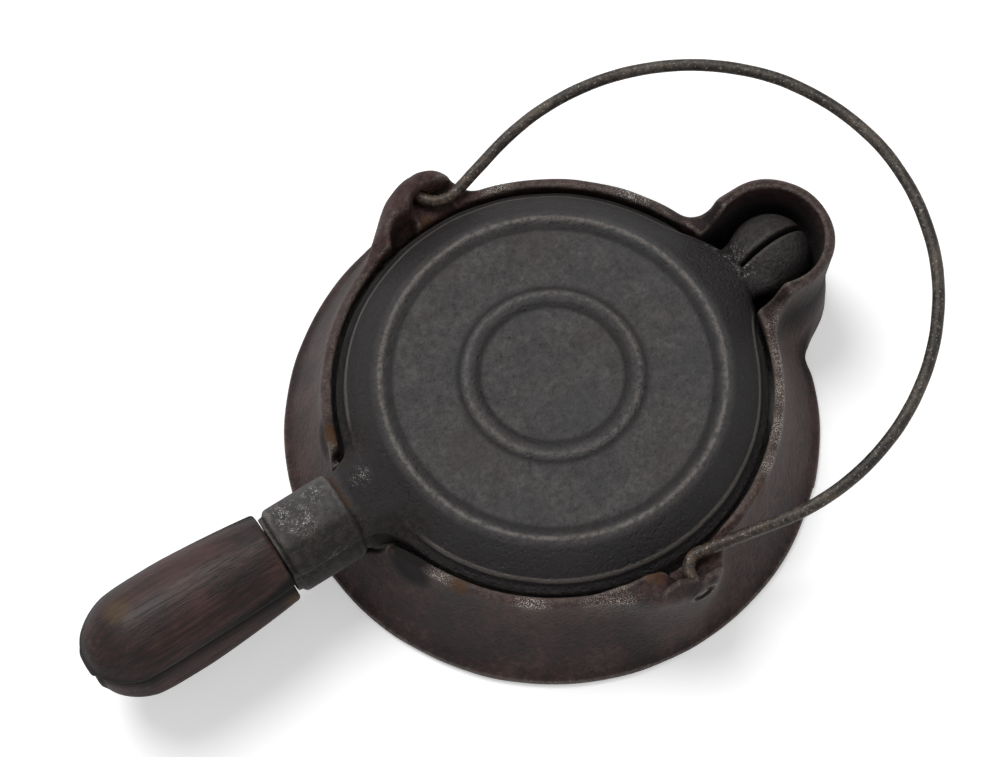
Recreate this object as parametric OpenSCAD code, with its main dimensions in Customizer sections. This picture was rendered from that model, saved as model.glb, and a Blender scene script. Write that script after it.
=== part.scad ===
// Small stovetop waffle iron: a low ring base with a bail, and two round cast pans that
// open on a split ball hinge, lift out of the base and carry split grips.
// The origin is the centre of the base ring on the table. +X points from the handle to
// the ball hinge and +Z points up. The pans are one casting used twice, the lower one
// turned half a turn about the axis that runs through the handle and the ball.

/* [Base ring] */
// Outer radius of the foot that stands on the stove
foot_r = 76; // [74:0.5:78]
// Height of the plain vertical edge of the foot
foot_edge = 2.5; // [1.5:0.5:4]
// Outer radius at the top of the rim
rim_r = 62.5; // [62.5:0.1:63.5]
// Height of the rim
rim_z = 30; // [29:0.5:31]
// Wall thickness of the ring
wall_t = 2.9; // [2.6:0.1:3]
// Height of the turning axis, where the two pans part
axis_z = 25.5; // [25:0.25:26]
// Radius of the notch that the neck turns in
notch_r = 14.6; // [14.5:0.1:15.5]

/* [Hinge cup] */
// Distance of the cup's axis from the centre of the ring
cup_x = 71.5; // [71:0.25:72]
// Outer radius of the cup's wall
cup_r = 17.4; // [17.2:0.1:18]
// Inner radius of the cup and of its mouth
cup_in_r = 14.5; // [14.4:0.1:14.8]
// Height of the cup's lip
cup_z = 40; // [38:0.5:40.5]

/* [Bail and its ears] */
// Height of the two ear holes
ear_z = 29.3; // [29:0.1:30]
// Radius of the bulge that makes an ear
ear_r = 12; // [11.5:0.25:12.5]
// Height of an ear
ear_top = 34.2; // [33.5:0.1:35]
// Radius of the bail's wire
wire_r = 1.75; // [1.5:0.05:1.8]
// Radius of the bail's arc, at the middle of the wire
bail_r = 68.2; // [67.5:0.1:69]
// Distance of the arc's centre from the ear holes
bail_u = 42.3; // [41.5:0.1:43]
// Angle at which the bail rests above level
bail_tilt = 9.5; // [9:0.1:10]

/* [Pans] */
// Outer radius of a pan's flange
pan_r = 58.6; // [58:0.1:58.6]
// Height of a pan from the parting plane to its outer bead
pan_h = 11.4; // [11:0.1:12]
// Radius of the outer bead on a pan's back
bead_r = 46.3; // [45:0.1:47]
// Radius of the small ring on a pan's back
ring_r = 22.2; // [20:0.1:26]
// Radius of the waffle mould
mould_r = 51.5; // [50:0.1:52]
// Side of one square stud in the mould
stud_w = 5.2; // [4:0.1:6]
// Distance from stud to stud
stud_pitch = 8.6; // [8:0.1:10]

/* [Ball hinge] */
// Distance of the ball's centre from the centre of the ring
ball_x = 72.8; // [72.5:0.1:73]
// Radius of the split ball
ball_r = 11.5; // [11:0.1:11.5]
// Half of the slot between the two half balls
slot_half = 0.8; // [0.6:0.1:1]
// Radius of the pivot stud cast on one half ball
pivot_r = 3.4; // [3:0.1:4]

/* [Handle] */
// Where the neck ends and the thick socket starts
seam_x = 65.4; // [64.5:0.1:66]
// Where the socket ends
socket_x = 84.8; // [84:0.1:86]
// Where the wooden grip starts
grip_x = 86.6; // [86.4:0.1:87]
// Length of the grip
grip_len = 56; // [50:0.5:60]
// Radius of the closed pair of grips where they meet the iron
grip_r0 = 13; // [12.5:0.1:13.5]
// Largest radius of the closed pair of grips
grip_r1 = 15.8; // [15:0.1:16.5]

/* [Hidden] */
$fn = 96;

// Clearances: between bodies, on the parting plane, between the grips, and in the two hinges
gap = 0.3;
part_gap = 0.15;
grip_gap = 0.5;
hinge_play = 0.06;

// A small overlap of joined shapes, and a length that reaches past everything
lap = 0.01;
far = 200;

// The ring's wall flares with a power of the depth below the rim
flare_power = 1.7;
flare_steps = 14;

// Cup: its foot, the fillet to the ring, the stretch where its lip falls to the rim,
// the mouth for the pans' noses, the depth of the seat's well and the hollow below
cup_foot_r = 20.5;
cup_foot_z = 22;
cup_fillet = 7;
lip_x = [59.5, 66.5];
mouth_x = 66;
well_depth = 7;
hollow_z = 8;

// Ears: centre, wall, half of the flat top, its slopes, fillets to the ring, floor of the
// pocket, the slot that the bail's arm swings in, and how far the arm swings from its rest
ear_c = [-0.5, 60.4];
ear_wall = 4;
ear_flat = 7.5;
ear_slope = 6;
ear_fillets = [12, 4];
pocket_z = 20;
arm_slot = [58.9, 66.9];
arm_reach = 20;
arm_swing = 130;

// Notch: how far its worn shoulder runs out, and its tight shoulder
worn_run = 12.4;
tight_run = 2;

// Bail: its hooks bend about bend_v from the middle plane and end at pin_end. Straight
// stretches lap over the bends and are a hair thicker than them
bend_r = 5;
bend_v = 66.4;
pin_end = 73.2;
wire_lap = 0.3;
wire_swell = 0.05;
pin_r = wire_r + wire_swell;

// Pan section: bevel at the parting plane, flange, foot of the dome and how far it curves,
// the narrow crest and inner slope of the bead, the broad small ring, and the plate
bevel = 0.3;
flange_z = 2.3;
flange_in_r = 56.4;
flange_lip_z = 3.8;
dome_r = 55.8;
dome_z = 5.5;
dome_deg = 72;
bead_flat = 0.4;
bead_slope = [1.6, 3.2];
ring_w = 2.3;
ring_flat = 1.2;
plate_z = pan_h - 1;
bead_mid_z = plate_z + 0.25;
ring_z = pan_h - 0.2;

// Mould: floor and stud tops, above the parting plane
mould_floor = 6.4;
stud_top = 2.3;

// Nose over the ball, and the stem that holds the half ball: [start, end, width, height]
nose_r = 63.3;
nose_half_deg = 11.2;
nose_turn_r = 13.9;
nose_z = [3.6, 5.4, 9];
stem = [54.5, 65.5, 9.8, 6];

// Neck, its flare to the plate, and the tang in the grip
neck_x = 45;
neck_w = 10.4;
neck_fillet = 8;
flare_z = 5;
tang_w = 4;
tang_z = 5.2;
tang_x = 127;
tang_play = 0.1;

// Half outlines of neck, socket and the shoulder that the wood butts on, as [half width,
// height] points above the parting plane, and the wood's play there
neck_outline = [[7.6, part_gap], [neck_w, 3.2], [neck_w, 6], [6.2, 9.4]];
socket_outline = [[6.8, gap], [11.5, 4.6], [11.5, 8.2], [7, 12.3]];
shoulder_outline = [[8.2, grip_gap], [9.4, 3], [9.4, 7], [6, 10]];
shoulder_play = 0.5;

// Grip: where it is widest along its length, the radius of its flat butt, how fast it
// rounds off towards that, and the groove between the two grips
grip_widest = 0.6;
grip_end_r = 6.4;
grip_power = 3;
groove_y = 9.8;
groove_deg = 38;

// Screws
screw_x = [98, 116];
screw_r = 1.4;
screw_head_r = 2.9;
screw_cone = 1.6;
screw_tip = 2.5;
screw_len = 10.6;
screw_play = 0.1;
screw_slot = 0.8;

// Outer radius of the ring's wall at a height
function wall_r(z) = rim_r + (foot_r - rim_r) * pow(1 - z / rim_z, flare_power);

// Smooth step from 0 to 1
function ease(t) = (1 - cos(180 * t)) / 2;

// Line of the ring's wall from height z0 to z1, set in by inset
function flare(z0, z1, inset) =
    [for (i = [0 : flare_steps]) let (z = z0 + (z1 - z0) * i / flare_steps) [wall_r(z) - inset, z]];

// Curve that steps from height h0 to h1 between x0 and x1
function lip_curve(x0, x1, h0, h1, steps = 8) =
    [for (i = [0 : steps]) [x0 + (x1 - x0) * i / steps, h0 + (h1 - h0) * ease(i / steps)]];

// Centre of a fillet circle that touches the ring's rim and a circle at c with radius r
function fillet_centre(c, r, f, side) =
    let (a = rim_r + f, b = norm(c), d = r + f,
         turn = acos((a * a + b * b - d * d) / (2 * a * b)),
         dir = atan2(c[1], c[0]) + side * turn)
    [a * cos(dir), a * sin(dir)];

// ---------------------------------------------------------------- base

module ring() {
    rotate_extrude()
        polygon(concat([[foot_r, 0], [foot_r, foot_edge]],
                       flare(foot_edge, rim_z, 0),
                       flare(rim_z, 0, wall_t)));
}

// Everything inside the ring's wall, to clear what is added to it
module ring_inside() {
    rotate_extrude()
        polygon(concat([[0, far], [0, -1], [wall_r(0) - wall_t, -1]],
                       flare(0, rim_z, wall_t),
                       [[rim_r - wall_t, far]]));
}

module cup_outline() {
    fillet_y = cup_r + cup_fillet;
    fillet_x = sqrt(pow(rim_r + cup_fillet, 2) - fillet_y * fillet_y);
    inner_x = 50;
    translate([cup_x, 0])
        circle(r = cup_r);
    translate([inner_x, -cup_r])
        square([cup_x - inner_x, 2 * cup_r]);
    for (side = [0, 1])
        mirror([0, side])
            difference() {
                polygon([[0, 0], [fillet_x, 0], [fillet_x, fillet_y]]);
                translate([fillet_x, fillet_y])
                    circle(r = cup_fillet);
            }
}

// The lip falls from the cup to the rim in one soft curve
module cup_height() {
    rotate([90, 0, 0])
        translate([0, 0, -far / 2])
            linear_extrude(far)
                polygon(concat([[0, 0], [0, rim_z]],
                               lip_curve(lip_x[0], lip_x[1], rim_z, cup_z),
                               [[far, cup_z], [far, 0]]));
}

module cup() {
    intersection() {
        linear_extrude(cup_z + 5)
            cup_outline();
        cup_height();
    }
    translate([cup_x, 0, 0])
        cylinder(h = cup_foot_z, r1 = cup_foot_r, r2 = cup_r);
}

// The hollow for the split ball: a well, a spherical seat and a mouth for the pans' noses
module cup_hollow() {
    mouth_start = 48;
    well_z = axis_z - well_depth;
    translate([cup_x, 0, 0])
        rotate_extrude()
            polygon([[0, well_z], [ball_r - 2 * gap, well_z], [cup_in_r, axis_z],
                     [cup_in_r, far], [0, far]]);
    translate([ball_x, 0, axis_z])
        sphere(r = ball_r + gap);
    translate([mouth_start, 0, axis_z])
        rotate([0, 90, 0])
            cylinder(h = mouth_x - mouth_start, r = cup_in_r);
    translate([mouth_start, -cup_in_r, axis_z])
        cube([cup_x - mouth_start, 2 * cup_in_r, far]);
}

// The casting is hollow from below, so the seat is a shelf
module cup_underside() {
    inner_x = 55;
    translate([cup_x, 0, -1])
        cylinder(h = hollow_z + 1, r = cup_in_r);
    translate([inner_x, -cup_in_r, -1])
        cube([cup_x - inner_x, 2 * cup_in_r, hollow_z + 1]);
}

module ear_outline() {
    translate(ear_c)
        circle(r = ear_r);
    for (i = [0, 1]) {
        f = fillet_centre(ear_c, ear_r, ear_fillets[i], 1 - 2 * i);
        difference() {
            polygon([[0, 0], ear_c, f]);
            translate(f)
                circle(r = ear_fillets[i]);
        }
    }
}

// The ear's top is flat and slopes down to the rim on both sides
module ear_height() {
    edges = [ear_c[0] - ear_flat, ear_c[0] + ear_flat];
    translate([0, far / 2, 0])
        rotate([90, 0, 0])
            linear_extrude(far / 2)
                polygon(concat([[-far, 0], [-far, rim_z]],
                               lip_curve(edges[0] - ear_slope, edges[0], rim_z, ear_top),
                               lip_curve(edges[1], edges[1] + ear_slope, ear_top, rim_z),
                               [[far, rim_z], [far, 0]]));
}

module ear() {
    intersection() {
        linear_extrude(ear_top + 5)
            ear_outline();
        ear_height();
    }
}

// The pocket, the hole for the bail, and the slot whose two floors the bail's arm lies over
// at rest and swung back
module ear_cut() {
    back_tilt = 180 - bail_tilt - arm_swing;
    rest_drop = (pin_r + gap) / cos(bail_tilt);
    back_drop = (pin_r + gap) / cos(back_tilt);
    translate([ear_c[0], ear_c[1], pocket_z])
        cylinder(h = far, r = ear_r - ear_wall);
    translate([0, ear_c[1], ear_z])
        rotate([-90, 0, 0])
            cylinder(h = 20, r = pin_r + hinge_play);
    translate([0, arm_slot[1], 0])
        rotate([90, 0, 0])
            linear_extrude(arm_slot[1] - arm_slot[0])
                polygon([[-arm_reach, ear_z - back_drop + arm_reach * tan(back_tilt)],
                         [0, ear_z - back_drop], [0, ear_z - rest_drop],
                         [arm_reach, ear_z - rest_drop + arm_reach * tan(bail_tilt)],
                         [arm_reach, far], [-arm_reach, far]]);
}

// The notch for the neck, with a long worn shoulder on one side and a tight one on the other
module handle_notch() {
    top = rim_z - axis_z + 0.5;
    steps = 5;
    worn = [for (i = [0 : steps]) [-notch_r - worn_run * i / steps, top * sin(90 * i / steps)]];
    tight = [for (i = [steps : -1 : 0]) [notch_r + tight_run * ease(i / steps), top * i / steps]];
    translate([-far, 0, axis_z])
        rotate([90, 0, 90])
            linear_extrude(far - neck_x) {
                circle(r = notch_r);
                polygon(concat(worn, [[-notch_r - worn_run, far], [notch_r + tight_run, far]], tight));
            }
}

module base() {
    color("#3a302b")
        difference() {
            union() {
                ring();
                difference() {
                    union() {
                        cup();
                        for (side = [0, 1])
                            mirror([0, side, 0])
                                ear();
                    }
                    ring_inside();
                }
            }
            cup_hollow();
            cup_underside();
            for (side = [0, 1])
                mirror([0, side, 0])
                    ear_cut();
            handle_notch();
        }
}

// ---------------------------------------------------------------- bail

// A bent stretch of wire in the bail's plane
module wire_arc(centre, r, from, turn) {
    translate([centre[0], centre[1], 0])
        rotate([0, 0, from])
            rotate_extrude(angle = turn)
                translate([r, 0])
                    circle(r = wire_r);
}

// A straight stretch of wire
module wire_line(start, dir, length) {
    translate([start[0], start[1], 0])
        rotate([0, 0, dir])
            translate([-wire_lap, 0, 0])
                rotate([0, 90, 0])
                    cylinder(h = length + 2 * wire_lap, r = pin_r);
}

// The arms are tangents from the hooks' bends to the big arc
module bail() {
    hook = [bend_r, bend_v];
    arc = [bail_u, 0];
    span = norm(arc - hook);
    lean = atan2(arc[1] - hook[1], arc[0] - hook[0]) + asin((bail_r + bend_r) / span);
    arm_len = sqrt(span * span - pow(bail_r + bend_r, 2));
    arm_start = hook + bend_r * [sin(lean), -cos(lean)];
    color("#3b322e")
        translate([0, 0, ear_z])
            rotate([0, -bail_tilt, 0]) {
                wire_arc(arc, bail_r, -90 - lean, 180 + 2 * lean);
                for (side = [0, 1])
                    mirror([0, side, 0]) {
                        wire_line(arm_start, lean, arm_len);
                        wire_arc(hook, bend_r, 180, 90 + lean);
                        wire_line([0, bend_v], 90, pin_end - bend_v);
                    }
            }
}

// ---------------------------------------------------------------- pans

// Half section of a pan's plate, from the flat mating face round the back
module pan_section() {
    steps = 9;
    crest_r = bead_r + bead_flat;
    dome = [for (i = [0 : steps]) [dome_r + (crest_r - dome_r) * i / steps,
                                   dome_z + (pan_h - dome_z) * sin(dome_deg * i / steps) / sin(dome_deg)]];
    polygon(concat([[0, part_gap], [pan_r - bevel, part_gap], [pan_r, part_gap + bevel],
                    [pan_r, flange_z], [flange_in_r, flange_lip_z]],
                   dome,
                   [[bead_r - bead_flat, pan_h], [bead_r - bead_slope[0], bead_mid_z],
                    [bead_r - bead_slope[1], plate_z], [ring_r + ring_w, plate_z],
                    [ring_r + ring_flat, ring_z], [ring_r - ring_flat, ring_z],
                    [ring_r - ring_w, plate_z], [0, plate_z]]));
}

// The nose reaches out over the ball, and can still turn inside the cup's mouth
module pan_nose() {
    root_r = 50;
    intersection() {
        rotate([0, 0, -nose_half_deg])
            rotate_extrude(angle = 2 * nose_half_deg)
                polygon([[root_r, part_gap], [nose_r, part_gap], [nose_r, nose_z[0]],
                         [nose_r - 1.5, nose_z[1]], [root_r, nose_z[2]]]);
        rotate([0, 90, 0])
            cylinder(h = far, r = nose_turn_r);
    }
}

// Everything on the side of the slot where the other pan's half ball is
module other_side() {
    translate([0, -slot_half, -far / 2])
        cube(far);
}

// The half ball on its stem. One has the pivot stud, and the other its hole
module half_ball(has_pivot) {
    difference() {
        union() {
            difference() {
                translate([ball_x, 0, 0])
                    sphere(r = ball_r);
                other_side();
            }
            translate([stem[0], -stem[2], part_gap])
                cube([stem[1] - stem[0], stem[2] - slot_half, stem[3]]);
        }
        if (!has_pivot)
            translate([ball_x, 0, 0])
                rotate([90, 0, 0])
                    cylinder(h = ball_r - 3.5, r = pivot_r + hinge_play);
    }
    if (has_pivot)
        translate([ball_x, -2, 0])
            rotate([-90, 0, 0])
                cylinder(h = ball_r - 3, r = pivot_r);
}

// A bar along the handle from x0 to x1, from a half outline of [half width, height] points
module handle_bar(x0, x1, outline) {
    other = [for (i = [len(outline) - 1 : -1 : 0]) [-outline[i][0], outline[i][1]]];
    translate([-x1, 0, 0])
        rotate([90, 0, 90])
            linear_extrude(x1 - x0)
                polygon(concat(outline, other));
}

// Plan of the flare that joins the neck to the plate
module neck_flare() {
    f_y = neck_w + neck_fillet;
    f_x = sqrt(pow(flange_in_r + neck_fillet, 2) - f_y * f_y);
    inner_x = neck_x - 5;
    translate([0, 0, part_gap])
        linear_extrude(flare_z)
            for (side = [0, 1])
                mirror([0, side])
                    difference() {
                        polygon([[-inner_x, 0], [-f_x, 0], [-f_x, f_y], [-inner_x, f_y * inner_x / f_x]]);
                        translate([-f_x, f_y])
                            circle(r = neck_fillet);
                    }
}

// The space that the batter fills: a round tray with rows of square studs
module mould() {
    rows = floor(mould_r / stud_pitch);
    translate([0, 0, -1])
        cylinder(h = stud_top + 1, r = mould_r);
    translate([0, 0, stud_top - lap])
        linear_extrude(mould_floor - stud_top + lap)
            difference() {
                circle(r = mould_r);
                for (i = [-rows : rows], j = [-rows : rows])
                    let (c = [i, j] * stud_pitch)
                        if (norm(c) < mould_r - stud_w)
                            translate(c - [stud_w, stud_w] / 2)
                                square(stud_w);
            }
}

// Countersunk hole through the tang
module screw_hole() {
    cylinder(h = screw_len, r = screw_r + screw_play);
    cylinder(h = grip_gap + lap, r = screw_head_r + screw_play);
    translate([0, 0, grip_gap])
        cylinder(h = screw_cone, r1 = screw_head_r + screw_play, r2 = screw_r + screw_play);
}

// One pan casting, mating face at z = 0 and its half of the ball on the -Y side
module pan(has_pivot) {
    difference() {
        union() {
            rotate_extrude()
                pan_section();
            pan_nose();
            neck_flare();
            handle_bar(neck_x, seam_x + lap, neck_outline);
            handle_bar(seam_x, socket_x, socket_outline);
            handle_bar(socket_x - lap, grip_x - shoulder_play, shoulder_outline);
            handle_bar(socket_x - lap, tang_x, [[tang_w, grip_gap], [tang_w, tang_z]]);
        }
        mould();
        intersection() {
            translate([ball_x, 0, 0])
                sphere(r = ball_r + gap);
            other_side();
        }
        for (x = screw_x)
            translate([-x, 0, 0])
                screw_hole();
    }
    half_ball(has_pivot);
}

module upper_pan() {
    color("#34343a")
        translate([0, 0, axis_z])
            pan(true);
}

module lower_pan() {
    color("#323238")
        translate([0, 0, axis_z])
            rotate([180, 0, 0])
                pan(false);
}

// ---------------------------------------------------------------- grips

// Radius of the closed pair of grips, t along the grip from 0 to 1
function grip_r(t) =
    t < grip_widest ? grip_r0 + (grip_r1 - grip_r0) * sin(90 * t / grip_widest)
                    : grip_r1 - (grip_r1 - grip_end_r) * pow((t - grip_widest) / (1 - grip_widest), grip_power);

module grip_round() {
    steps = 18;
    profile = [for (i = [0 : steps]) let (t = sin(90 * i / steps)) [grip_r(t), t * grip_len]];
    translate([-grip_x, 0, 0])
        rotate([0, -90, 0])
            rotate_extrude()
                polygon(concat([[0, 0]], profile, [[0, grip_len]]));
}

// Half a turned handle, its edges cut back so that the closed pair has a groove
module grip() {
    difference() {
        grip_round();
        translate([-far, -far / 2, -far + grip_gap])
            cube([far, far, far]);
        for (side = [0, 1])
            mirror([0, side, 0])
                translate([-far, groove_y, grip_gap])
                    rotate([-groove_deg, 0, 0])
                        translate([0, 0, -far / 2])
                            cube([far, far, far]);
        translate([-tang_x - 4 * tang_play, -tang_w - tang_play, -1])
            cube([tang_x - grip_x + 1, 2 * (tang_w + tang_play), tang_z + tang_play + 1]);
        for (x = screw_x)
            translate([-x, 0, 0])
                cylinder(h = screw_len + 1, r = screw_r + screw_play / 2);
    }
}

module upper_grip() {
    color("#35211b")
        translate([0, 0, axis_z])
            grip();
}

module lower_grip() {
    color("#35211b")
        translate([0, 0, axis_z])
            rotate([180, 0, 0])
                grip();
}

// A flat-head wood screw, driven from the mating face
module screw(x) {
    shank = screw_len - screw_tip;
    tip_r = 0.3;
    translate([-x, 0, grip_gap])
        difference() {
            union() {
                cylinder(h = screw_cone, r1 = screw_head_r, r2 = screw_r);
                cylinder(h = shank, r = screw_r);
                translate([0, 0, shank])
                    cylinder(h = screw_tip, r1 = screw_r, r2 = tip_r);
            }
            translate([-far / 2, -screw_slot / 2, -1])
                cube([far, screw_slot, 1 + screw_slot]);
        }
}

module upper_screw(i) {
    color("#4a4642")
        translate([0, 0, axis_z])
            screw(screw_x[i]);
}

module lower_screw(i) {
    color("#4a4642")
        translate([0, 0, axis_z])
            rotate([180, 0, 0])
                screw(screw_x[i]);
}

base();
bail();
lower_pan();
upper_pan();
lower_grip();
upper_grip();
lower_screw(0);  // lower_grip_front_screw
lower_screw(1);  // lower_grip_rear_screw
upper_screw(0);  // upper_grip_front_screw
upper_screw(1);  // upper_grip_rear_screw
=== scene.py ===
# %% [markdown]
# # A small stovetop waffle iron
# Two round cast pans with split wooden grips hinge on a ball. The ball lies in the cup of a
# low flared ring that stands on the stove, and a wire bail lifts the ring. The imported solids
# give every place and size. This script carves the visible castings, wood and wire round
# them, and paints each one with its own finish.

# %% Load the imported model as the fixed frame
import bpy
import math
import numpy as np
from functools import partial
from mathutils import Matrix, Vector


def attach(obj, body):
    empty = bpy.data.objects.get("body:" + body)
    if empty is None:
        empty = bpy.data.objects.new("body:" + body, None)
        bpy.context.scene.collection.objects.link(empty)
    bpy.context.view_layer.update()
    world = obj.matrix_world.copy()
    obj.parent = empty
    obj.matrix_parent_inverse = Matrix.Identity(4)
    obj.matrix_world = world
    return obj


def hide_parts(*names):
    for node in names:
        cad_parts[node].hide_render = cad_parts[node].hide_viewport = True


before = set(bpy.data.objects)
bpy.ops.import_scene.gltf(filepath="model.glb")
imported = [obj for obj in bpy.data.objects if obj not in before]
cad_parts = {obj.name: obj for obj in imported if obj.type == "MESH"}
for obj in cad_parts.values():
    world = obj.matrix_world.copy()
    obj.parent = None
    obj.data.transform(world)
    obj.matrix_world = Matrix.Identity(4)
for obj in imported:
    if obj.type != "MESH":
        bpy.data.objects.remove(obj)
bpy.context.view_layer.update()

# %% [markdown]
# ## Sizes
# All shapes below are worked out in millimetres, as a pattern maker would, and turned into
# metres when a mesh is made. The origin is the middle of the ring on the stove, +X points
# from the handle to the ball hinge and +Z up.

# %% Sizes of the iron, in millimetres
MM = 0.001
# The ring that stands on the stove.
FOOT_R, FOOT_IN_R, FOOT_EDGE = 75.9, 71.5, 2.5
RIM_R, RIM_Z = 62.5, 30.0
WALL_FOOT_R, WALL, FLARE_POWER = 76, 2.9, 1.7
# The hinge axis, the cup and the ball in it.
AXIS_Z = 25.5
CUP_X, CUP_R, CUP_IN_R, CUP_Z = 71.5, 17.4, 14.5, 40.0
THROAT_R = 13.5
BALL_X, BALL_R, BALL_GAP = 72.8, 11.5, 0.3
# The ears, and the bail's tilt at both ends of its swing.
EAR_TOP, EAR_Z, EAR_SHIFT = 34.2, 29.3, 0.9
BAIL_TILT = math.radians(9.5)
BAIL_SWING = math.radians(130)
SWING_TILT = math.pi - BAIL_SWING - BAIL_TILT
# The pans, from the ball to the handle.
PAN_R, PLATE_Z, DOME_R = 58.6, 10.4, 46.7
MOULD_R, MOULD_FLOOR, STUD_TOP = 51.5, 6.4, 2.3
SEAM_X, SOCKET_X = -65.4, -84.8
GRIP_X, GRIP_LEN = -86.6, 56.0
print("the pans part at height", AXIS_Z)

# %% [markdown]
# ## Carving with distance fields
# A casting has no sharp joints: every wall runs into the next with a fillet, because sharp
# corners tear in the sand. Modelling such blends with bevels and booleans is hard work, so
# each casting here is a field: a function that is negative inside the iron and grows with the
# distance outside it. The smaller of two fields joins two shapes, the larger one cuts them,
# and a soft minimum or maximum leaves the fillet by itself.

# %% Soft joins and cuts
def soft_min(a, b, r):
    return np.minimum(a, b) - np.square(np.maximum(r - np.abs(a - b), 0)) / (4 * r)


def soft_max(a, b, r):
    return np.maximum(a, b) + np.square(np.maximum(r - np.abs(a - b), 0)) / (4 * r)


def cut(body, *cuts):
    """A shape cut by one field after the other, each with its own fillet."""
    for field, r in cuts:
        body = soft_max(body, field, r)
    return body


def ease(t):
    return (1 - np.cos(np.pi * np.clip(t, 0, 1))) / 2


def between(v, low, high, r):
    return soft_max(low - v, v - high, r)


print("a soft join of 0 and 0 over 4 mm adds", -float(soft_min(0.0, 0.0, 4.0)), "mm")

# %% [markdown]
# ## From a field to a mesh
# The field is sampled on a cubic grid. Each grid cell that the surface passes gets one
# vertex, at the mean of the places where its edges cross the surface, and each grid edge that
# is crossed gets one quad between its four cells. This is known as surface nets: it gives
# even quads that close by themselves. Every vertex then slides along the field's slope onto
# the surface itself, which keeps narrow beads crisp.

# %% Sampling a field
CORNERS = [(i, j, k) for i in (0, 1) for j in (0, 1) for k in (0, 1)]


def sample(field, low, high, step):
    axes = [np.arange(a, b + step, step) for a, b in zip(low, high)]
    values = np.empty([len(a) for a in axes], np.float32)
    slab = 24
    for i in range(0, len(axes[0]), slab):
        x = axes[0][i:i + slab, None, None]
        values[i:i + slab] = field(x, axes[1][None, :, None], axes[2][None, None, :])
    return values


# %% One vertex for each cell that the surface passes
def net(values, low, step):
    shape = [n - 1 for n in values.shape]
    nx, ny, nz = shape
    corner = {(i, j, k): values[i:i + nx, j:j + ny, k:k + nz] for i, j, k in CORNERS}
    inside = sum((corner[c] < 0).astype(np.int8) for c in CORNERS)
    cells = np.argwhere((inside > 0) & (inside < 8))
    at = tuple(cells.T)
    total = np.zeros((len(cells), 3))
    count = np.zeros(len(cells))
    for a in CORNERS:
        for axis in range(3):
            if a[axis]:
                continue
            b = tuple(1 if n == axis else a[n] for n in range(3))
            fa, fb = corner[a][at].astype(float), corner[b][at].astype(float)
            hit = (fa < 0) != (fb < 0)
            share = fa[hit] / (fa[hit] - fb[hit])
            place = np.tile(np.array(a, float), (len(share), 1))
            place[:, axis] += share
            total[hit] += place
            count[hit] += 1
    points = np.array(low) + step * (cells + total / count[:, None])
    index = np.full(shape, -1, np.int32)
    index[at] = np.arange(len(cells))
    return points, net_quads(values, index)


# %% One quad for each grid edge that the surface crosses
def net_quads(values, index):
    quads = []
    for axis in range(3):
        u, v = (axis + 1) % 3, (axis + 2) % 3
        ends = [slice(1, -1)] * 3
        low, high = list(ends), list(ends)
        low[axis], high[axis] = slice(0, -1), slice(1, None)
        fa, fb = values[tuple(low)] < 0, values[tuple(high)] < 0
        for outward in (True, False):
            edges = np.argwhere(fa & ~fb if outward else ~fa & fb)
            edges[:, [u, v]] += 1
            ring = []
            for du, dv in ((-1, -1), (0, -1), (0, 0), (-1, 0)):
                cell = edges.copy()
                cell[:, u] += du
                cell[:, v] += dv
                ring.append(index[tuple(cell.T)])
            quads.append(np.stack(ring if outward else ring[::-1], 1))
    return np.concatenate(quads)


# %% Sliding points onto the surface, and how sharply it bends there
SLOPE_STEP, BEND_STEP = 0.03, 0.9
LEAST_SLOPE = 0.3


def slope(field, p):
    g = np.empty_like(p)
    for axis, step in enumerate(SLOPE_STEP * np.eye(3)):
        g[:, axis] = (field(*(p + step).T) - field(*(p - step).T)) / (2 * SLOPE_STEP)
    return g


def settle(field, p, reach, rounds=2):
    for _ in range(rounds):
        g = slope(field, p)
        size = np.maximum(np.linalg.norm(g, axis=1), LEAST_SLOPE)
        move = np.clip(field(*p.T) / size, -reach, reach)
        p = p - g * (move / size)[:, None]
    return p


def bend(field, p):
    """Above zero on edges and crests, below zero in corners and grooves."""
    total = -6 * field(*p.T)
    for step in BEND_STEP * np.eye(3):
        total = total + field(*(p + step).T) + field(*(p - step).T)
    return total / BEND_STEP


# %% [markdown]
# ## Casting skin
# Sand leaves a faint unevenness, so every vertex moves in or out by about a tenth of a
# millimetre. Wear shows on what sticks out and grime stays in what lies deep. The bend of the
# field knows both, and is stored on the vertices as the attributes edge and hollow, for the
# finishes to read. Further attributes mark patches from lists of places: rust, soot together
# with painted shade, and bare metal whose bright specks are painted glints.

# %% Unevenness, patches and the finished mesh
WAVES = np.random.default_rng(7).normal(size=(14, 4))
SAND_LENGTH = 9.0
PATCH_REACH = 1.3


def uneven(p, size, length):
    d = np.zeros(len(p))
    for wx, wy, wz, phase in WAVES:
        d += np.sin((p @ np.array([wx, wy, wz])) * 2 / length + 6 * phase)
    return size * d / math.sqrt(len(WAVES))


def patches(p, spots):
    mark = np.zeros(len(p))
    for x, y, z, r in spots:
        d = np.linalg.norm(p - np.array([x, y, z]), axis=1)
        mark = np.maximum(mark, np.clip(PATCH_REACH - d / r, 0, 1))
    return mark


def add_attribute(mesh, name, values):
    layer = mesh.attributes.new(name, "FLOAT", "POINT")
    layer.data.foreach_set("value", np.ascontiguousarray(values, np.float32))


def link_object(name, data):
    thing = bpy.data.objects.new(name, data)
    bpy.context.scene.collection.objects.link(thing)
    return thing


def read_points(mesh):
    points = np.empty(3 * len(mesh.vertices))
    mesh.vertices.foreach_get("co", points)
    return points.reshape(-1, 3) / MM


def write_points(mesh, points):
    mesh.vertices.foreach_set("co", (points * MM).ravel())
    mesh.shade_smooth()
    mesh.update()


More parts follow.
